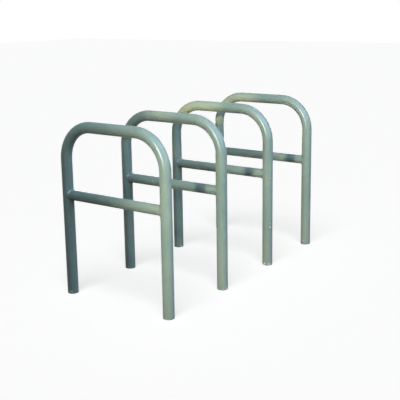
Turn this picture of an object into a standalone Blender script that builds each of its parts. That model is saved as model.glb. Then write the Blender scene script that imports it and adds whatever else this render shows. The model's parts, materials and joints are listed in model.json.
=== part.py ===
"""A row of cycle hoops for parking bikes, each one cast into the ground by its two legs.

Metres, with +Z up. X runs across each hoop and Y along the row. The ground is the plane z = 0, and the origin is
on it, in the middle of the row. A hoop is one tube bent twice, with a thinner rail welded between its legs. Its
legs run on below the ground as roots, and a bar through each root keys it into the footing.
"""

import math

import bmesh
import bpy
from mathutils import Matrix, Vector

# The row
HOOP_COUNT = 4
HOOP_PITCH = 0.410  # from one hoop's middle to the next one's

# The hoop, over the outside of its tube
HOOP_WIDTH = 0.600
HOOP_HEIGHT = 0.800  # above the ground
ROOT_DEPTH = 0.250  # below the ground
BEND_RADIUS = 0.150  # of the tube's centre line
TUBE_DIAMETER = 0.050
TUBE_WALL = 0.003

# The cross rail
RAIL_HEIGHT = 0.462  # from the ground to the rail's centre line
RAIL_DIAMETER = 0.045
RAIL_WALL = 0.0025

# The fillet weld round each end of the rail
WELD_LEG = 0.005  # from the weld's root to each of its two toes
WELD_CROWN = 0.0005  # how far the weld's face bulges

# The bar through each root
ANCHOR_DIAMETER = 0.012
ANCHOR_LENGTH = 0.150
ANCHOR_RISE = 0.050  # from the leg's foot to the bar's centre line
ANCHOR_CHAMFER = 0.001

# The gap that neighbouring pieces keep
CLEARANCE = 0.0003

# How finely round shapes are divided
TUBE_SIDES = 24
BEND_STEPS = 10
ANCHOR_SIDES = 16
SMOOTH_ANGLE = math.radians(35)

# Worked out from the sizes above
TUBE_RADIUS = TUBE_DIAMETER / 2
RAIL_RADIUS = RAIL_DIAMETER / 2
ANCHOR_RADIUS = ANCHOR_DIAMETER / 2
LEG_X = HOOP_WIDTH / 2 - TUBE_RADIUS  # from the hoop's middle to a leg's centre line
BEND_X = LEG_X - BEND_RADIUS  # to a bend's centre
BEND_Z = HOOP_HEIGHT - TUBE_RADIUS - BEND_RADIUS
ANCHOR_Z = ANCHOR_RISE - ROOT_DEPTH

LEFT, RIGHT = -1, 1
SIDE_NAMES = {LEFT: "left", RIGHT: "right"}


def clear_scene():
    for thing in list(bpy.data.objects):
        bpy.data.objects.remove(thing, do_unlink=True)


def make_material(name, colour, roughness, metallic):
    material = bpy.data.materials.new(name)
    material.use_nodes = True
    shader = material.node_tree.nodes["Principled BSDF"]
    shader.inputs["Base Color"].default_value = (*colour, 1.0)
    shader.inputs["Roughness"].default_value = roughness
    shader.inputs["Metallic"].default_value = metallic
    return material


def finish_mesh(name, bm, material):
    """Turns the faces outwards, smooths the round ones and returns the mesh."""
    bmesh.ops.recalc_face_normals(bm, faces=bm.faces)
    mesh = bpy.data.meshes.new(name)
    bm.to_mesh(mesh)
    bm.free()
    mesh.shade_smooth()
    mesh.set_sharp_from_angle(angle=SMOOTH_ANGLE)
    mesh.materials.append(material)
    return mesh


def only(kind, geometry):
    return [item for item in geometry if isinstance(item, kind)]


def start_section(bm, radius, wall, matrix):
    """The tube's section, a flat ring of faces, which the calls below draw out into the tube."""
    circle = bmesh.ops.create_circle(bm, segments=TUBE_SIDES, radius=radius, matrix=matrix)
    outside = list({edge for vert in circle["verts"] for edge in vert.link_edges})
    made = bmesh.ops.extrude_edge_only(bm, edges=outside)["geom"]
    inside = only(bmesh.types.BMVert, made)
    shrink = (radius - wall) / radius
    bmesh.ops.scale(bm, verts=inside, vec=(shrink, shrink, shrink), space=matrix.inverted())
    return only(bmesh.types.BMFace, made)


def draw_straight(bm, section, way):
    made = bmesh.ops.extrude_face_region(bm, geom=section)["geom"]
    bmesh.ops.translate(bm, verts=only(bmesh.types.BMVert, made), vec=way)
    return made


def draw_bend(bm, section, centre):
    """A quarter turn about Y, which takes a tube that rises over to +X, and one that runs to +X down."""
    made = bmesh.ops.spin(
        bm, geom=section, cent=centre, axis=(0, 1, 0), angle=math.radians(90), steps=BEND_STEPS
    )
    return made["geom_last"]


def hoop_mesh(material):
    """The bent tube, drawn from the left foot over the top to the right foot, and open at both."""
    bm = bmesh.new()
    above_anchor = ANCHOR_Z + ANCHOR_RISE
    left_foot = Matrix.Translation((-LEG_X, 0, -ROOT_DEPTH))
    section = start_section(bm, TUBE_RADIUS, TUBE_WALL, left_foot)
    section = draw_straight(bm, section, (0, 0, above_anchor + ROOT_DEPTH))
    section = draw_straight(bm, section, (0, 0, BEND_Z - above_anchor))
    section = draw_bend(bm, section, (-BEND_X, 0, BEND_Z))
    section = draw_straight(bm, section, (2 * BEND_X, 0, 0))
    section = draw_bend(bm, section, (BEND_X, 0, BEND_Z))
    section = draw_straight(bm, section, (0, 0, above_anchor - BEND_Z))
    draw_straight(bm, section, (0, 0, -ROOT_DEPTH - above_anchor))
    return finish_mesh("bent_tube", bm, material)


def saddle_reach(y):
    """From a leg's centre line to the cut end of the rail, which stays clear of the leg's round side."""
    return math.sqrt(max(0.0, (TUBE_RADIUS + CLEARANCE) ** 2 - y**2))


def rail_mesh(material):
    """The cross rail, hollow, with each end cut to a saddle that fits round its leg."""
    bm = bmesh.new()
    left_end = Matrix.Translation((-LEG_X, 0, RAIL_HEIGHT)) @ Matrix.Rotation(math.radians(90), 4, "Y")
    section = start_section(bm, RAIL_RADIUS, RAIL_WALL, left_end)
    draw_straight(bm, section, (2 * LEG_X, 0, 0))
    for vert in bm.verts:
        side = math.copysign(1, vert.co.x)
        vert.co.x = side * (LEG_X - saddle_reach(vert.co.y))
    return finish_mesh("cross_rail", bm, material)


def on_leg(around, up):
    """A point just clear of the leg's round side, from its place on that side laid out flat."""
    radius = TUBE_RADIUS + CLEARANCE
    turn = around / radius
    return Vector((radius * math.cos(turn), radius * math.sin(turn), up))


def weld_section(angle):
    """The weld's cross-section at one angle round the rail, as points from the leg's centre line."""
    leg_radius = TUBE_RADIUS + CLEARANCE
    rail_radius = RAIL_RADIUS + CLEARANCE
    y = rail_radius * math.cos(angle)
    up = rail_radius * math.sin(angle)
    around = leg_radius * math.asin(max(-1.0, min(1.0, y / leg_radius)))
    spread = math.hypot(around, up)
    middle = 1 + WELD_LEG / 2 / spread
    end = 1 + WELD_LEG / spread
    root = Vector((on_leg(around, up).x, y, up))
    leg_middle = on_leg(around * middle, up * middle)
    leg_toe = on_leg(around * end, up * end)
    rail_toe = root + Vector((WELD_LEG, 0, 0))
    face_middle = (leg_toe + rail_toe) / 2
    crown = face_middle + (face_middle - root).normalized() * WELD_CROWN
    return [root, rail_toe, crown, leg_toe, leg_middle]


def weld_mesh(side, material):
    """The closed ring of weld metal where the rail meets the leg on this side."""
    bm = bmesh.new()
    sections = []
    for step in range(TUBE_SIDES):
        points = weld_section(2 * math.pi * step / TUBE_SIDES)
        placed = [(side * (LEG_X - point.x), point.y, RAIL_HEIGHT + point.z) for point in points]
        sections.append([bm.verts.new(point) for point in placed])
    for here, ahead in zip(sections, sections[1:] + sections[:1]):
        for corner in range(len(here)):
            before = corner - 1
            bm.faces.new((here[before], here[corner], ahead[corner], ahead[before]))
    return finish_mesh("rail_weld_" + SIDE_NAMES[side], bm, material)


def round_bar(bm, radius, length):
    """A bar with its middle at the origin, along Y. Returns the edges round its two ends."""
    bmesh.ops.create_cone(
        bm,
        cap_ends=True,
        segments=ANCHOR_SIDES,
        radius1=radius,
        radius2=radius,
        depth=length,
        matrix=Matrix.Rotation(math.radians(90), 4, "X"),
    )
    return [edge for edge in bm.edges if edge.verts[0].co.y * edge.verts[1].co.y > 0]


def anchor_mesh(material):
    bm = bmesh.new()
    end_edges = round_bar(bm, ANCHOR_RADIUS, ANCHOR_LENGTH)
    bmesh.ops.bevel(
        bm,
        geom=end_edges,
        offset=ANCHOR_CHAMFER,
        offset_type="OFFSET",
        segments=1,
        profile=0.5,
        affect="EDGES",
        material=-1,
    )
    return finish_mesh("anchor_bar", bm, material)


def hole_cutter_mesh(material):
    """What is cut from both walls of a root to let the bar through."""
    bm = bmesh.new()
    round_bar(bm, ANCHOR_RADIUS + CLEARANCE, 2 * TUBE_DIAMETER)
    return finish_mesh("anchor_hole_cutter", bm, material)


def place(name, mesh, parent, location=(0, 0, 0)):
    thing = bpy.data.objects.new(name, mesh)
    thing.parent = parent
    thing.location = location
    bpy.context.scene.collection.objects.link(thing)
    return thing


def cut_anchor_hole(tube, cutter):
    cutter.hide_render = True
    cutter.display_type = "WIRE"
    hole = tube.modifiers.new(cutter.name, "BOOLEAN")
    hole.operation = "DIFFERENCE"
    hole.solver = "EXACT"
    hole.object = cutter


def build_hoop(number, meshes):
    """One hoop with its rail, welds and anchor bars, carried by an empty on the ground between its legs."""
    name = f"hoop_{number}"
    middle = bpy.data.objects.new(name, None)
    middle.location = (0, (number - (HOOP_COUNT + 1) / 2) * HOOP_PITCH, 0)
    bpy.context.scene.collection.objects.link(middle)

    tube = place(f"{name}_tube", meshes["tube"], middle)
    place(f"{name}_cross_rail", meshes["rail"], middle)
    for side, word in SIDE_NAMES.items():
        anchor_place = (side * LEG_X, 0, ANCHOR_Z)
        place(f"{name}_weld_{word}", meshes[f"weld_{word}"], middle)
        place(f"{name}_anchor_{word}", meshes["anchor"], middle, anchor_place)
        cutter = place(f"{name}_hole_cutter_{word}", meshes["hole_cutter"], middle, anchor_place)
        cut_anchor_hole(tube, cutter)


def build_row():
    clear_scene()
    tube_paint = make_material("painted_tube", (0.290, 0.371, 0.305), 0.38, 0.0)
    rail_paint = make_material("painted_rail", (0.283, 0.365, 0.302), 0.38, 0.0)
    weld_paint = make_material("painted_weld", (0.262, 0.342, 0.283), 0.42, 0.0)
    zinc = make_material("galvanised_bar", (0.478, 0.491, 0.491), 0.50, 1.0)
    meshes = {
        "tube": hoop_mesh(tube_paint),
        "rail": rail_mesh(rail_paint),
        "weld_left": weld_mesh(LEFT, weld_paint),
        "weld_right": weld_mesh(RIGHT, weld_paint),
        "anchor": anchor_mesh(zinc),
        "hole_cutter": hole_cutter_mesh(zinc),
    }
    for number in range(1, HOOP_COUNT + 1):
        build_hoop(number, meshes)


build_row()
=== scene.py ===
"""A row of cycle hoops in sage green powder coat, dressed for the photograph's view.

Metres, with +Z up. X runs across each hoop and Y along the row, away from the camera. The ground is z = 0.
"""

import json
import math

import bmesh
import bpy
from mathutils import Matrix, Vector

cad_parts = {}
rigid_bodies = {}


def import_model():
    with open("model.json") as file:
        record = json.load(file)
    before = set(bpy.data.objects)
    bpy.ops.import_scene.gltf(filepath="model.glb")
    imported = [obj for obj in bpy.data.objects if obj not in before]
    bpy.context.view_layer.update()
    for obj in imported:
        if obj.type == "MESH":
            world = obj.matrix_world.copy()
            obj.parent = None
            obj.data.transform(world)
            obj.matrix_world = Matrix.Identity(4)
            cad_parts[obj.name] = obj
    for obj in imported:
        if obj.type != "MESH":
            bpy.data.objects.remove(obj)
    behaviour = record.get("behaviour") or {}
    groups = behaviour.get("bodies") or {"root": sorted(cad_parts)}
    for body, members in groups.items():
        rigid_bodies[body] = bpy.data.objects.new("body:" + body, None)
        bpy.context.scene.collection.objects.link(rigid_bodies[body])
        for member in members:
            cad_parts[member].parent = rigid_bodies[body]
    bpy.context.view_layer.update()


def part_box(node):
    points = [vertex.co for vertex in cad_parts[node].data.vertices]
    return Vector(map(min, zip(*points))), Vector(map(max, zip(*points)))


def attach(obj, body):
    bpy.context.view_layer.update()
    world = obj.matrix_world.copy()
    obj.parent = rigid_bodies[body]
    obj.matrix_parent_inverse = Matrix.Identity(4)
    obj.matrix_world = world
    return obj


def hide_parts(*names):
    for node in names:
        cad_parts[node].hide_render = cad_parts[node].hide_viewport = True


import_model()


# The hoop tubes
# Each is one length of round steel tube, bent twice round a former and drilled across near both feet for the
# anchor bars. The whole hoop is dipped in zinc, and then powder coated down to just below the ground line.

HOOP_NUMBERS = (1, 2, 3, 4)

BEND_RADIUS = 0.150  # of the tube's centre line
TUBE_WALL = 0.003
TUBE_SIDES = 64
BEND_STEPS = 36
BEND_FLATTENING = 0.02  # of the tube's diameter, in the plane of the bend
BEND_WIDENING = BEND_FLATTENING / 3  # across that plane
EDGE_ROUNDING = 0.0004  # where a saw's burr was filed off
EDGE_STEPS = 2
HOLE_CLEARANCE = 0.0003
HOLE_SIDES = 32
SMOOTH_ANGLE = math.radians(40)

PAINT_WARM = "#91A796"  # sage green, where the sun has bleached it a little
PAINT_COOL = "#859F91"
PAINT_DUSTY = "#979C90"  # road dust in the splash zone
PRIMER = "#E2E6E0"  # what a chip in the paint lays bare
ZINC_LIGHT = "#B9BFC1"
ZINC_DARK = "#8F979B"

PAINT_SPECULAR = 0.0  # the pigment doesn't shine: the smooth skin over it does
PAINT_ROUGHNESS = 0.42
PAINT_SMOOTHER = 0.04  # how far its patches depart from that
PAINT_ROUGHER = 0.05
DUST_ROUGHNESS = 0.35  # what dust and chips add to it
CHIP_ROUGHNESS = 0.25
SKIN_WEIGHT = 0.5
SKIN_ROUGHNESS = 0.26
ZINC_ROUGHNESS = 0.48

MOTTLE_MM = 35  # small patches, which vary the fading, the dust and the gloss
MOTTLE_DETAIL = 4.0
MOTTLE_SHARE = 0.3  # of the fading
FADE_MM = 260  # how far apart the large bleached patches lie
FADE_LOW, FADE_HIGH = 0.38, 0.62  # where the noise starts to bleach the paint, and where it has done so
GLOSS_LOW, GLOSS_HIGH = 0.3, 0.7  # the same for the smoothest and the roughest patches

SPLASH_ZONE_MM = 140
DUST_MOST = 0.25  # how much of the paint it hides at the ground
DUST_LOW, DUST_HIGH = 0.35, 0.70  # the same for where dust starts to hold, and where it holds most

CHIP_MM = 17  # a cell of the noise, of which only the peak shows, as a chip a few millimetres across
CHIP_DETAIL = 3.0
CHIP_ZONE_MM = 45  # most chips, from strimmers and tyres, lie less than this above the ground
CHIP_LEVEL_GROUND = 0.585  # how high the noise has to peak to make a chip
CHIP_LEVEL_ABOVE = 0.758
CHIP_EDGE = 0.012  # how much higher still, for the whole of its edge
CHIP_DEPTH_MM = 0.06

ORANGE_PEEL_MM = 2.5  # the melted powder's fine orange peel, at its real size, which only a close view shows
ORANGE_PEEL_DEPTH_MM = 0.015
WAVE_MM = 28  # the slow waviness of drawn tube, which bends a highlight in the whole view
WAVE_DEPTH_MM = 0.10
PLAIN_DETAIL = 1.0  # both are smooth, so their noise has no finer layers

PAINT_ENDS_Z = -0.020  # the zinc below it goes into the footing
PAINT_END_WANDER = 0.012
PAINT_END_EDGE = 0.001
SPANGLE_MM = 7  # the crystals of hot-dip zinc

COLOUR_A, COLOUR_B, COLOUR_OUT = 6, 7, 2  # a Mix node's sockets for colours


def linear(hex_colour):
    """An sRGB hex colour as the linear RGBA that a node takes."""
    parts = [int(hex_colour[start : start + 2], 16) / 255 for start in (1, 3, 5)]
    curved = [p / 12.92 if p <= 0.04045 else ((p + 0.055) / 1.055) ** 2.4 for p in parts]
    return (*curved, 1.0)


def per_metre(millimetres):
    """A pattern's scale on coordinates in metres, from the size of one of its cells."""
    return 1000 / millimetres


def add_node(tree, kind, settings=None, links=None):
    """Adds a node. Settings give its properties and inputs' values, and links say what feeds its inputs."""
    node = tree.nodes.new("ShaderNode" + kind)
    for key, value in (settings or {}).items():
        if isinstance(key, str) and hasattr(node, key):
            setattr(node, key, value)
        else:
            node.inputs[key].default_value = value
    for key, source in (links or {}).items():
        tree.links.new(source, node.inputs[key])
    return node


def new_material(name):
    """A material with one shader on its output: the material, its tree and the shader."""
    material = bpy.data.materials.new(name)
    material.use_nodes = True
    tree = material.node_tree
    return material, tree, tree.nodes["Principled BSDF"]


def zinc_colour(tree, place):
    """Hot-dip zinc's flat crystals, each a slightly different grey."""
    cells = add_node(tree, "TexVoronoi", {"Scale": per_metre(SPANGLE_MM)}, {"Vector": place})
    tone = add_node(tree, "SeparateColor", {}, {"Color": cells.outputs["Color"]}).outputs[0]
    greys = {"data_type": "RGBA", COLOUR_A: linear(ZINC_DARK), COLOUR_B: linear(ZINC_LIGHT)}
    return add_node(tree, "Mix", greys, {"Factor": tone}).outputs[COLOUR_OUT]


def powder_coat(name):
    """Polyester powder coat, baked on over zinc.

    It gives the eye a plain sage green, faded a little in patches, under a smooth skin with a fine orange
    peel that draws soft streaks of light along the tube. Low down it is dusty, and chipped to the primer.
    Just below the ground it ends on bare zinc.
    """
    material, tree, shader = new_material(name)
    place = add_node(tree, "TexCoord").outputs["Object"]
    height = add_node(tree, "SeparateXYZ", {}, {"Vector": place}).outputs["Z"]

    # The paint, faded in patches
    mottle_settings = {"Scale": per_metre(MOTTLE_MM), "Detail": MOTTLE_DETAIL}
    mottle = add_node(tree, "TexNoise", mottle_settings, {"Vector": place}).outputs[0]
    fade = add_node(tree, "TexNoise", {"Scale": per_metre(FADE_MM)}, {"Vector": place}).outputs[0]
    patches = add_node(tree, "Mix", {"Factor": MOTTLE_SHARE}, {"A": fade, "B": mottle}).outputs[0]
    bleached = add_node(
        tree,
        "MapRange",
        {"interpolation_type": "SMOOTHSTEP", "From Min": FADE_LOW, "From Max": FADE_HIGH},
        {"Value": patches},
    ).outputs[0]
    greens = {"data_type": "RGBA", COLOUR_A: linear(PAINT_COOL), COLOUR_B: linear(PAINT_WARM)}
    paint = add_node(tree, "Mix", greens, {"Factor": bleached}).outputs[COLOUR_OUT]

    # Dust in the splash zone
    splash = add_node(
        tree,
        "MapRange",
        {
            "interpolation_type": "SMOOTHSTEP",
            "From Min": SPLASH_ZONE_MM / 1000,
            "From Max": 0.0,
            "To Max": DUST_MOST,
        },
        {"Value": height},
    ).outputs[0]
    caught = add_node(
        tree,
        "MapRange",
        {"interpolation_type": "SMOOTHSTEP", "From Min": DUST_LOW, "From Max": DUST_HIGH},
        {"Value": mottle},
    ).outputs[0]
    dust = add_node(tree, "Math", {"operation": "MULTIPLY"}, {0: splash, 1: caught}).outputs[0]
    dusty = add_node(
        tree,
        "Mix",
        {"data_type": "RGBA", COLOUR_B: linear(PAINT_DUSTY)},
        {"Factor": dust, COLOUR_A: paint},
    ).outputs[COLOUR_OUT]

    # Chips down to the primer
    chip_settings = {"Scale": per_metre(CHIP_MM), "Detail": CHIP_DETAIL}
    chips = add_node(tree, "TexNoise", chip_settings, {"Vector": place}).outputs[0]
    chip_level = add_node(
        tree,
        "MapRange",
        {
            "interpolation_type": "SMOOTHSTEP",
            "From Min": 0.0,
            "From Max": CHIP_ZONE_MM / 1000,
            "To Min": CHIP_LEVEL_GROUND,
            "To Max": CHIP_LEVEL_ABOVE,
        },
        {"Value": height},
    ).outputs[0]
    peaks = add_node(tree, "Math", {"operation": "SUBTRACT"}, {0: chips, 1: chip_level}).outputs[0]
    chipped = add_node(
        tree,
        "MapRange",
        {"interpolation_type": "SMOOTHSTEP", "From Min": 0.0, "From Max": CHIP_EDGE},
        {"Value": peaks},
    ).outputs[0]
    coat = add_node(
        tree,
        "Mix",
        {"data_type": "RGBA", COLOUR_B: linear(PRIMER)},
        {"Factor": chipped, COLOUR_A: dusty},
    ).outputs[COLOUR_OUT]

    # The end of the paint, and the zinc below it
    wander = {"operation": "MULTIPLY_ADD", 1: PAINT_END_WANDER}
    ragged = add_node(tree, "Math", wander, {0: mottle, 2: height}).outputs[0]
    paint_end = PAINT_ENDS_Z + PAINT_END_WANDER / 2
    bare = add_node(
        tree,
        "MapRange",
        {
            "interpolation_type": "SMOOTHSTEP",
            "From Min": paint_end,
            "From Max": paint_end - PAINT_END_EDGE,
        },
        {"Value": ragged},
    ).outputs[0]
    colour = add_node(
        tree,
        "Mix",
        {"data_type": "RGBA"},
        {"Factor": bare, COLOUR_A: coat, COLOUR_B: zinc_colour(tree, place)},
    ).outputs[COLOUR_OUT]
    tree.links.new(colour, shader.inputs["Base Color"])
    tree.links.new(bare, shader.inputs["Metallic"])
    shader.inputs["Specular IOR Level"].default_value = PAINT_SPECULAR
    shader.inputs["Coat Weight"].default_value = SKIN_WEIGHT
    shader.inputs["Coat Roughness"].default_value = SKIN_ROUGHNESS

    # How rough each of them is
    gloss = add_node(
        tree,
        "MapRange",
        {
            "interpolation_type": "SMOOTHSTEP",
            "From Min": GLOSS_LOW,
            "From Max": GLOSS_HIGH,
            "To Min": PAINT_ROUGHNESS - PAINT_SMOOTHER,
            "To Max": PAINT_ROUGHNESS + PAINT_ROUGHER,
        },
        {"Value": mottle},
    ).outputs[0]
    dust_adds = {"operation": "MULTIPLY_ADD", 1: DUST_ROUGHNESS}
    with_dust = add_node(tree, "Math", dust_adds, {0: dust, 2: gloss}).outputs[0]
    chips_add = {"operation": "MULTIPLY_ADD", 1: CHIP_ROUGHNESS}
    with_chips = add_node(tree, "Math", chips_add, {0: chipped, 2: with_dust}).outputs[0]
    zinc_rough = add_node(tree, "Math", {"operation": "MULTIPLY", 1: ZINC_ROUGHNESS}, {0: bare}).outputs[0]
    rough = add_node(tree, "Math", {"operation": "MAXIMUM"}, {0: with_chips, 1: zinc_rough}).outputs[0]
    tree.links.new(rough, shader.inputs["Roughness"])

    # The relief of peel, waves and chips
    peel_settings = {"Scale": per_metre(ORANGE_PEEL_MM), "Detail": PLAIN_DETAIL}
    peel = add_node(tree, "TexNoise", peel_settings, {"Vector": place}).outputs[0]
    wave_settings = {"Scale": per_metre(WAVE_MM), "Detail": PLAIN_DETAIL}
    wave = add_node(tree, "TexNoise", wave_settings, {"Vector": place}).outputs[0]
    peel_rise = {"operation": "MULTIPLY", 1: ORANGE_PEEL_DEPTH_MM / 1000}
    relief = add_node(tree, "Math", peel_rise, {0: peel}).outputs[0]
    wave_rise = {"operation": "MULTIPLY_ADD", 1: WAVE_DEPTH_MM / 1000}
    relief = add_node(tree, "Math", wave_rise, {0: wave, 2: relief}).outputs[0]
    chip_sink = {"operation": "MULTIPLY_ADD", 1: -CHIP_DEPTH_MM / 1000}
    relief = add_node(tree, "Math", chip_sink, {0: chipped, 2: relief}).outputs[0]
    bump = add_node(tree, "Bump", {"Distance": 1.0, "Strength": 1.0}, {"Height": relief}).outputs[0]
    tree.links.new(bump, shader.inputs["Normal"])
    tree.links.new(bump, shader.inputs["Coat Normal"])
    return material


def only(kind, geometry):
    return [item for item in geometry if isinstance(item, kind)]


def start_section(bm, radius, wall, sides, matrix):
    """A tube's section, a flat ring of faces, which the calls below draw out into the tube."""
    circle = bmesh.ops.create_circle(bm, segments=sides, radius=radius, matrix=matrix)
    outside = list({edge for vert in circle["verts"] for edge in vert.link_edges})
    made = bmesh.ops.extrude_edge_only(bm, edges=outside)["geom"]
    shrink = (radius - wall) / radius
    bmesh.ops.scale(
        bm,
        verts=only(bmesh.types.BMVert, made),
        vec=(shrink, shrink, shrink),
        space=matrix.inverted(),
    )
    return only(bmesh.types.BMFace, made)


def draw_straight(bm, section, way):
    made = bmesh.ops.extrude_face_region(bm, geom=section)["geom"]
    bmesh.ops.translate(bm, verts=only(bmesh.types.BMVert, made), vec=way)
    return made


def draw_bend(bm, section, centre):
    """A quarter turn about Y, which takes a tube that rises over to +X, and one that runs to +X down."""
    made = bmesh.ops.spin(
        bm, geom=section, cent=centre, axis=(0, 1, 0), angle=math.radians(90), steps=BEND_STEPS
    )
    return made["geom_last"]


def round_edges(bm, edges, width):
    bmesh.ops.bevel(
        bm,
        geom=edges,
        offset=width,
        offset_type="OFFSET",
        segments=EDGE_STEPS,
        profile=0.5,
        affect="EDGES",
        material=-1,
    )


def sharp_rims(bm):
    """The edges where faces meet at more than the smooth angle, as round a tube's cut end."""
    bm.normal_update()
    return [edge for edge in bm.edges if edge.is_manifold and edge.calc_face_angle() > SMOOTH_ANGLE]


def sizes_of_tube(number):
    """What the solid says of one hoop's tube: where its legs, bends and feet lie, and its plane."""
    low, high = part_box(f"hoop_{number}_tube")
    radius = (high.y - low.y) / 2
    return {
        "radius": radius,
        "leg_x": high.x - radius,
        "bend_x": high.x - radius - BEND_RADIUS,
        "bend_z": high.z - radius - BEND_RADIUS,
        "foot_z": low.z,
        "y": (low.y + high.y) / 2,
    }


def flatten_bends(bm, tube):
    """A round tube goes a little oval where it is bent, most of all halfway round the bend."""
    for vert in bm.verts:
        side = math.copysign(1, vert.co.x)
        out = Vector((side * vert.co.x - tube["bend_x"], 0, vert.co.z - tube["bend_z"]))
        if out.x <= 0 or out.z <= 0:
            continue
        share = math.sin(2 * math.atan2(out.z, out.x)) ** 2
        reach = BEND_RADIUS + (out.length - BEND_RADIUS) * (1 - BEND_FLATTENING * share)
        out = out.normalized() * reach
        vert.co.x = side * (tube["bend_x"] + out.x)
        vert.co.z = tube["bend_z"] + out.z
        vert.co.y *= 1 + BEND_WIDENING * share


def bent_tube(tube):
    """The tube, drawn from the left foot over the top to the right foot, and open at both."""
    bm = bmesh.new()
    bend_x, bend_z, root = tube["bend_x"], tube["bend_z"], tube["foot_z"]
    left_foot = Matrix.Translation((-tube["leg_x"], 0, root))
    section = start_section(bm, tube["radius"], TUBE_WALL, TUBE_SIDES, left_foot)
    section = draw_straight(bm, section, (0, 0, -root))
    section = draw_straight(bm, section, (0, 0, bend_z))
    section = draw_bend(bm, section, (-bend_x, 0, bend_z))
    section = draw_straight(bm, section, (2 * bend_x, 0, 0))
    section = draw_bend(bm, section, (bend_x, 0, bend_z))
    section = draw_straight(bm, section, (0, 0, -bend_z))
    draw_straight(bm, section, (0, 0, root))
    round_edges(bm, sharp_rims(bm), EDGE_ROUNDING)
    flatten_bends(bm, tube)
    bmesh.ops.translate(bm, verts=bm.verts, vec=(0, tube["y"], 0))
    return bm


def round_bar(bm, radius, length, sides, middle):
    """A solid bar along Y, with flat ends."""
    bmesh.ops.create_cone(
        bm,
        cap_ends=True,
        segments=sides,
        radius1=radius,
        radius2=radius,
        depth=length,
        matrix=Matrix.Translation(middle) @ Matrix.Rotation(math.radians(90), 4, "X"),
    )


def new_object(name, bm):
    """Turns the faces outwards and puts the mesh in the scene."""
    bmesh.ops.recalc_face_normals(bm, faces=bm.faces)
    if bm.calc_volume(signed=True) < 0:  # the sharp toes of some weld beads mislead the call above
        bmesh.ops.reverse_faces(bm, faces=bm.faces)
    mesh = bpy.data.meshes.new(name)
    bm.to_mesh(mesh)
    bm.free()
    thing = bpy.data.objects.new(name, mesh)
    bpy.context.scene.collection.objects.link(thing)
    return thing


def finish_piece(piece, material, node):
    """Smooths the round faces, gives the piece its finish, attaches it to the root and hides the solid it
    replaces.
    """
    piece.data.shade_smooth()
    piece.data.set_sharp_from_angle(angle=SMOOTH_ANGLE)
    piece.data.materials.clear()
    piece.data.materials.append(material)
    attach(piece, "root")
    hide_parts(node)


def drill_roots(piece, number, tube):
    """The holes through both roots, which the anchor bars go through with a little play."""
    drill_length = 4 * tube["radius"]  # well past both walls
    bm = bmesh.new()
    for side in ("left", "right"):
        low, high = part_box(f"hoop_{number}_anchor_{side}")
        hole_radius = (high.z - low.z) / 2 + HOLE_CLEARANCE
        round_bar(bm, hole_radius, drill_length, HOLE_SIDES, (low + high) / 2)
    drill = new_object("drill", bm)
    cut = piece.modifiers.new("anchor_holes", "BOOLEAN")
    cut.operation = "DIFFERENCE"
    cut.solver = "EXACT"
    cut.object = drill
    solid = piece.evaluated_get(bpy.context.evaluated_depsgraph_get())
    drilled = bpy.data.meshes.new_from_object(solid)
    piece.modifiers.clear()
    piece.data = drilled
    bpy.data.objects.remove(drill)


painted_tube = powder_coat("sage_powder_coat_on_tube")
tubes = {number: sizes_of_tube(number) for number in HOOP_NUMBERS}
for number, tube in tubes.items():
    piece = new_object(f"hoop_{number}_bent_tube", bent_tube(tube))
    drill_roots(piece, number, tube)
    finish_piece(piece, painted_tube, f"hoop_{number}_tube")


# The cross rails
# Each is a thinner tube that holds the legs apart and gives a second place to lock to. Its ends are notched
# to saddles, so that they sit round the legs, and it is welded in before the hoop is dipped and coated.

RAIL_WALL = 0.0025
RAIL_SIDES = 56
SADDLE_CLEARANCE = 0.0003

painted_rail = powder_coat("sage_powder_coat_on_rail")


def cross_rail(tube, low, high):
    """The rail, drawn from leg to leg, with its ends then moved onto the legs' round sides."""
    bm = bmesh.new()
    radius = (high.z - low.z) / 2
    left_leg = Matrix.Translation((-tube["leg_x"], 0, (low.z + high.z) / 2))
    along_x = Matrix.Rotation(math.radians(90), 4, "Y")
    section = start_section(bm, radius, RAIL_WALL, RAIL_SIDES, left_leg @ along_x)
    draw_straight(bm, section, (2 * tube["leg_x"], 0, 0))
    for vert in bm.verts:
        side = math.copysign(1, vert.co.x)
        reach = math.sqrt((tube["radius"] + SADDLE_CLEARANCE) ** 2 - vert.co.y**2)
        vert.co.x = side * (tube["leg_x"] - reach)
    bmesh.ops.translate(bm, verts=bm.verts, vec=(0, tube["y"], 0))
    return bm


rails = {number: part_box(f"hoop_{number}_cross_rail") for number in HOOP_NUMBERS}
for number, (low, high) in rails.items():
    piece = new_object(f"hoop_{number}_notched_rail", cross_rail(tubes[number], low, high))
    finish_piece(piece, painted_rail, f"hoop_{number}_cross_rail")


# The weld beads
# A fillet of weld metal runs all round each end of the rail. Each pool froze a little ahead of the last one,
# which leaves the rows of crescents that still show through the coat.

WELD_LEG = 0.005  # from the weld's root to each of its toes
WELD_CROWN = 0.0008  # how far the bead bulges
WELD_SWELL = 0.10  # how much the hand that welded it varied the leg
RIPPLES = 44
RIPPLE_DEPTH = 0.00025
RIPPLE_CURVE = 1.6  # how far the crescents bow, in ripples
RIPPLE_STEPS = 7
BEAD_SIDES = 16
TOE_SINK = 0.0002  # the toes run a little into both tubes, as fused metal does
RING_RADIUS = 2.0  # of the plain ring that a bead starts as, before its points are laid into the joint
SECTION_RADIUS = 1.0
MERGE_DISTANCE = 1e-5

painted_weld = powder_coat("sage_powder_coat_on_weld")


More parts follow.
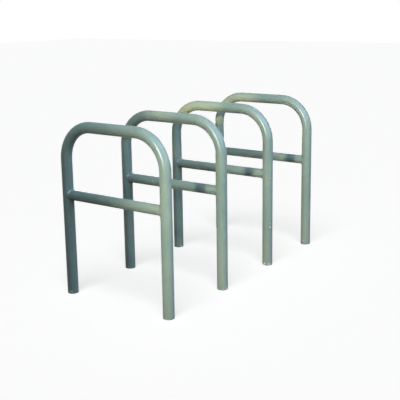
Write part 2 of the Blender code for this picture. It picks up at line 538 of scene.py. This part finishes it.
def bead_point(angle, across, rail_radius, leg_radius, swell):
    """A point of the bead: angle goes round the rail, and across goes round the bead's own section.

    From 0 to half a turn across is the bead's face, from the leg's toe to the rail's. The rest is its root.
    """
    y = rail_radius * math.cos(angle)
    up = rail_radius * math.sin(angle)
    waver = math.sin(3 * angle + swell) * math.sin(angle + 2 * swell)  # slow and uneven, as by hand
    leg = WELD_LEG * (1 + WELD_SWELL * waver)

    def on_leg(spread, sink):
        """A point of the leg's side, laid out flat from where the rail's middle meets it."""
        around = leg_radius * math.asin(max(-1.0, min(1.0, y / leg_radius))) * spread
        turn = around / leg_radius
        deep = leg_radius - sink
        return Vector((deep * math.cos(turn), deep * math.sin(turn), up * spread))

    root = on_leg(1.0, 0.0)
    leg_toe = on_leg(1 + leg / rail_radius, TOE_SINK)
    rail_toe = root + Vector((leg, 0, 0))
    rail_toe.y *= 1 - TOE_SINK / rail_radius
    rail_toe.z *= 1 - TOE_SINK / rail_radius
    middle = (leg_toe + rail_toe) / 2
    face_way = (middle - root).normalized()
    if across <= math.pi:
        share = across / math.pi
        arch = math.sin(across)
        phase = RIPPLES * angle + 2 * math.pi * RIPPLE_CURVE * arch
        ripple = RIPPLE_DEPTH * arch * math.sin(phase)
        return leg_toe.lerp(rail_toe, share) + face_way * (WELD_CROWN * arch + ripple)
    share = (across - math.pi) / math.pi
    return rail_toe.lerp(leg_toe, share) + (root - middle) * math.sin(math.pi * share)


def weld_bead(tube, side, rail_radius, middle_z, swell):
    """A ring with the bead's section all round it, whose points are then laid into the joint."""
    bm = bmesh.new()
    section = bmesh.ops.create_circle(
        bm,
        segments=BEAD_SIDES,
        radius=SECTION_RADIUS,
        matrix=Matrix.Translation((RING_RADIUS, 0, 0)) @ Matrix.Rotation(math.radians(90), 4, "X"),
    )
    bmesh.ops.spin(
        bm,
        geom=list({edge for vert in section["verts"] for edge in vert.link_edges}),
        cent=(0, 0, 0),
        axis=(0, 0, 1),
        angle=math.radians(360),
        steps=RIPPLES * RIPPLE_STEPS,
        use_merge=True,
    )
    bmesh.ops.remove_doubles(bm, verts=bm.verts, dist=MERGE_DISTANCE)
    for vert in bm.verts:
        angle = math.atan2(vert.co.y, vert.co.x)
        across = math.atan2(vert.co.z, math.hypot(vert.co.x, vert.co.y) - RING_RADIUS)
        point = bead_point(angle, across % (2 * math.pi), rail_radius, tube["radius"], swell)
        vert.co = (side * (tube["leg_x"] - point.x), tube["y"] + point.y, middle_z + point.z)
    return bm


for number, (low, high) in rails.items():
    rail_radius = (high.z - low.z) / 2
    middle_z = (low.z + high.z) / 2
    for name, side in (("left", -1), ("right", 1)):
        swell = number + side / 3  # so that no two beads swell in the same places
        bead = weld_bead(tubes[number], side, rail_radius, middle_z, swell)
        piece = new_object(f"hoop_{number}_weld_bead_{name}", bead)
        finish_piece(piece, painted_weld, f"hoop_{number}_weld_{name}")


# The anchor bars
# A short round bar goes through each root, below the ground, so that the hoop can't be pulled or turned out
# of its footing. The bars are cut from plain bar and dipped in zinc with the hoop.

BAR_SIDES = 40
BAR_CHAMFER = 0.001

BAR_SMOOTHER = 0.06  # how far its patches depart from the zinc's roughness
BAR_ROUGHER = 0.10
BAR_LUMP_MM = 0.2  # how high the frozen zinc stands in places
BAR_LUMP_DETAIL = 2.0


def galvanised(name):
    """Hot-dip zinc, left as it froze, which looks dull and grey with large flat crystals."""
    material, tree, shader = new_material(name)
    place = add_node(tree, "TexCoord").outputs["Object"]
    tree.links.new(zinc_colour(tree, place), shader.inputs["Base Color"])
    shader.inputs["Metallic"].default_value = 1.0

    cloud_settings = {"Scale": per_metre(MOTTLE_MM), "Detail": MOTTLE_DETAIL}
    cloud = add_node(tree, "TexNoise", cloud_settings, {"Vector": place}).outputs[0]
    rough = add_node(
        tree,
        "MapRange",
        {
            "interpolation_type": "SMOOTHSTEP",
            "From Min": GLOSS_LOW,
            "From Max": GLOSS_HIGH,
            "To Min": ZINC_ROUGHNESS - BAR_SMOOTHER,
            "To Max": ZINC_ROUGHNESS + BAR_ROUGHER,
        },
        {"Value": cloud},
    ).outputs[0]
    tree.links.new(rough, shader.inputs["Roughness"])

    lump_settings = {"Scale": per_metre(SPANGLE_MM), "Detail": BAR_LUMP_DETAIL}
    lumps = add_node(tree, "TexNoise", lump_settings, {"Vector": place}).outputs[0]
    lump_rise = {"operation": "MULTIPLY", 1: BAR_LUMP_MM / 1000}
    relief = add_node(tree, "Math", lump_rise, {0: lumps}).outputs[0]
    bump = add_node(tree, "Bump", {"Distance": 1.0, "Strength": 1.0}, {"Height": relief}).outputs[0]
    tree.links.new(bump, shader.inputs["Normal"])
    return material


galvanised_bar = galvanised("hot_dip_zinc_on_bar")
for number in HOOP_NUMBERS:
    for name in ("left", "right"):
        low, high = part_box(f"hoop_{number}_anchor_{name}")
        bm = bmesh.new()
        round_bar(bm, (high.z - low.z) / 2, high.y - low.y, BAR_SIDES, (low + high) / 2)
        round_edges(bm, sharp_rims(bm), BAR_CHAMFER)
        piece = new_object(f"hoop_{number}_anchor_bar_{name}", bm)
        finish_piece(piece, galvanised_bar, f"hoop_{number}_anchor_{name}")


# The floor
# A plain pale floor, with its surface at the ground line, so that the roots are out of sight below it. It
# shows white to the camera apart from the hoops' soft shadow, and throws back no more light than paving does.

FLOOR_HALF = 20
FLOOR_WHITE = "#F3F3F3"
FLOOR_GLOW = 0.64  # what the floor shows in full shadow, where 1 is white
PAVING = "#4A4948"


def shows_background(tree):
    """1 for the rays that show the background, straight or in gloss, and 0 for those that carry light."""
    path = add_node(tree, "LightPath").outputs
    either = {"operation": "MAXIMUM"}
    seen = add_node(tree, "Math", either, {0: path["Is Camera Ray"], 1: path["Is Glossy Ray"]}).outputs[0]
    return add_node(tree, "Math", either, {0: seen, 1: path["Is Transmission Ray"]}).outputs[0]


pale_floor, tree, shader = new_material("pale_floor")
tree.nodes.remove(shader)
glow = add_node(tree, "Emission", {"Strength": FLOOR_GLOW}).outputs[0]
shade = add_node(tree, "BsdfDiffuse", {"Color": linear(FLOOR_WHITE)}).outputs[0]
white = add_node(tree, "AddShader", {}, {0: glow, 1: shade}).outputs[0]
paving = add_node(tree, "BsdfDiffuse", {"Color": linear(PAVING)}).outputs[0]
surface = add_node(tree, "MixShader", {}, {0: shows_background(tree), 1: paving, 2: white}).outputs[0]
tree.links.new(surface, tree.nodes["Material Output"].inputs["Surface"])
bm = bmesh.new()
bmesh.ops.create_grid(bm, x_segments=1, y_segments=1, size=FLOOR_HALF)
floor = new_object("floor", bm)
floor.data.materials.append(pale_floor)


# The light
# Studio lamps stand for the low sun and the open sky of the photograph, in which the left legs are in shade.
# Light linking keeps them off the floor, which has a lamp of its own. Power is in watts, and sizes in metres.

DOME = "#14181C"  # the little light that comes from all round
SUN = "#FFF8F2"
SIDE_SUN = "#FFE6CA"
LOW_SUN = "#FFD6A2"
SKY = "#BED4FF"
BLUE_SKY = "#98B2FF"
HAZE = "#D2E5FF"
NEUTRAL = "#FFFFFF"
FLOOR_LAMP_WIDTH = math.radians(35)  # enough for soft shadows

studio = bpy.data.worlds.new("studio")
studio.use_nodes = True
bpy.context.scene.world = studio
tree = studio.node_tree
dome = tree.nodes["Background"]
dome.inputs["Color"].default_value = linear(DOME)
white = add_node(tree, "Background", {"Color": linear(NEUTRAL)}).outputs[0]
dome_or_white = {0: shows_background(tree), 1: dome.outputs[0], 2: white}
backdrop = add_node(tree, "MixShader", {}, dome_or_white).outputs[0]
tree.links.new(backdrop, tree.nodes["World Output"].inputs["Surface"])

lit_floor = bpy.data.collections.new("lit_floor")
lit_floor.objects.link(floor)
lit_row = bpy.data.collections.new("lit_row")
for thing in bpy.context.scene.objects:
    if thing.type == "MESH" and thing != floor:
        lit_row.objects.link(thing)


def hang_lamp(name, kind, place, aim, power, colour, lit):
    """A lamp that lights only what is in the collection, though all things shade that."""
    lamp = bpy.data.lights.new(name, kind)
    lamp.energy = power
    lamp.color = linear(colour)[:3]
    lantern = bpy.data.objects.new(name, lamp)
    lantern.location = place
    lantern.rotation_euler = (Vector(aim) - Vector(place)).to_track_quat("-Z", "Y").to_euler()
    lantern.light_linking.receiver_collection = lit
    bpy.context.scene.collection.objects.link(lantern)
    return lantern


def spot(name, place, aim, beam, edge, radius, power, colour):
    """A spotlight whose beam, in degrees, fades to nothing over the edge's share of it."""
    lamp = hang_lamp(name, "SPOT", place, aim, power, colour, lit_row).data
    lamp.spot_size = math.radians(beam)
    lamp.spot_blend = edge
    lamp.shadow_soft_size = radius


def screen(name, place, aim, sides, power, colour, spread=180, glint_only=False):
    """A glowing rectangle. Its light keeps within a spread in degrees, or shows only in the gloss."""
    lantern = hang_lamp(name, "AREA", place, aim, power, colour, lit_row)
    lantern.data.shape = "RECTANGLE"
    lantern.data.size, lantern.data.size_y = sides
    lantern.data.spread = math.radians(spread)
    lantern.visible_diffuse = not glint_only


# The sun from the front right, whose beam ends between the left legs and the right ones
spot(
    "key_light",
    place=(1.35, -4.81, 2.45),
    aim=(3.00, 0.90, 0.40),
    beam=66.4,
    edge=0.20,
    radius=0.10,
    power=390,
    colour=SUN,
)

# More of it on the nearest right legs, on the near tops, and on the far tops
spot(
    "near_legs_light",
    place=(1.58, -2.22, 2.20),
    aim=(0.275, -0.54, 0.33),
    beam=13,
    edge=1.0,
    radius=0.05,
    power=80,
    colour=SUN,
)
spot(
    "near_tops_light",
    place=(0.78, -3.91, 1.55),
    aim=(-0.21, -0.46, 0.86),
    beam=10,
    edge=1.0,
    radius=0.03,
    power=84,
    colour=SUN,
)
spot(
    "far_tops_light",
    place=(0.75, -3.22, 1.50),
    aim=(-0.22, 0.43, 0.875),
    beam=8.2,
    edge=0.6,
    radius=0.03,
    power=500,
    colour=LOW_SUN,
)

# The open sky over the right side, the haze over the front, and a plain fill for the back of the row
screen(
    "sky_screen",
    place=(2.25, -0.10, 2.35),
    aim=(0.20, 0.0, 0.55),
    sides=(2.0, 2.0),
    power=72,
    colour=SKY,
)
screen(
    "front_screen",
    place=(0.60, -2.40, 3.20),
    aim=(0.0, 0.0, 0.60),
    sides=(1.2, 1.2),
    power=40,
    colour=HAZE,
)
screen(
    "back_screen",
    place=(-1.80, 3.10, 0.40),
    aim=(0.0, 0.0, 0.40),
    sides=(3.6, 0.7),
    power=80,
    colour=NEUTRAL,
)

# The streaks that the sun and the sky leave in the paint's skin, mostly on the right bends
screen(
    "sun_glint",
    place=(1.20, -4.81, 2.05),
    aim=(0.20, 0.0, 0.70),
    sides=(0.9, 3.0),
    power=480,
    colour=HAZE,
    glint_only=True,
)
screen(
    "sky_glint",
    place=(1.60, 0.60, 2.50),
    aim=(0.20, 0.0, 0.60),
    sides=(2.6, 2.6),
    power=78,
    colour=BLUE_SKY,
    glint_only=True,
)

# A tall strip for the faces of the right legs
screen(
    "strip_light",
    place=(1.20, -3.70, 1.75),
    aim=(2.00, 1.10, 0.45),
    sides=(0.34, 1.7),
    power=31.5,
    colour=SIDE_SUN,
    spread=62,
)

# The floor's own lamp is a distant one, so its power is for each square metre
floor_lamp = hang_lamp(
    "floor_lamp", "SUN", place=(1.0, -2.0, 4.0), aim=(0, 0, 0), power=1.25, colour=NEUTRAL, lit=lit_floor
)
floor_lamp.data.angle = FLOOR_LAMP_WIDTH


# The camera
# It stands at the photograph's viewpoint, found from the hoops' sizes and their outlines in the picture.

PICTURE_SIDE = 400  # pixels
LENS_PX = 776.92  # the lens's length in pixels of the picture
LENS_MIDDLE_PX = (180, 170)  # where the lens points in the picture
SENSOR_MM = 36
CAMERA_PLACE = (2.1366, -3.0340, 1.2860)
CAMERA_AZIMUTH = math.radians(36.47)
CAMERA_ELEVATION = math.radians(12.08)
CAMERA_ROLL = math.radians(-1.17)

lens = bpy.data.cameras.new("camera")
lens.sensor_width = SENSOR_MM
lens.lens = LENS_PX / PICTURE_SIDE * SENSOR_MM
lens.shift_x = 0.5 - LENS_MIDDLE_PX[0] / PICTURE_SIDE
lens.shift_y = LENS_MIDDLE_PX[1] / PICTURE_SIDE - 0.5
camera = bpy.data.objects.new("camera", lens)
level = math.cos(CAMERA_ELEVATION)
backwards = Vector(
    (math.sin(CAMERA_AZIMUTH) * level, -math.cos(CAMERA_AZIMUTH) * level, math.sin(CAMERA_ELEVATION))
)
roll = Matrix.Rotation(CAMERA_ROLL, 4, "Z").to_quaternion()
camera.location = CAMERA_PLACE
camera.rotation_mode = "QUATERNION"
camera.rotation_quaternion = (-backwards).to_track_quat("-Z", "Y") @ roll
bpy.context.scene.collection.objects.link(camera)
bpy.context.scene.camera = camera
bpy.context.scene.view_settings.view_transform = "Standard"
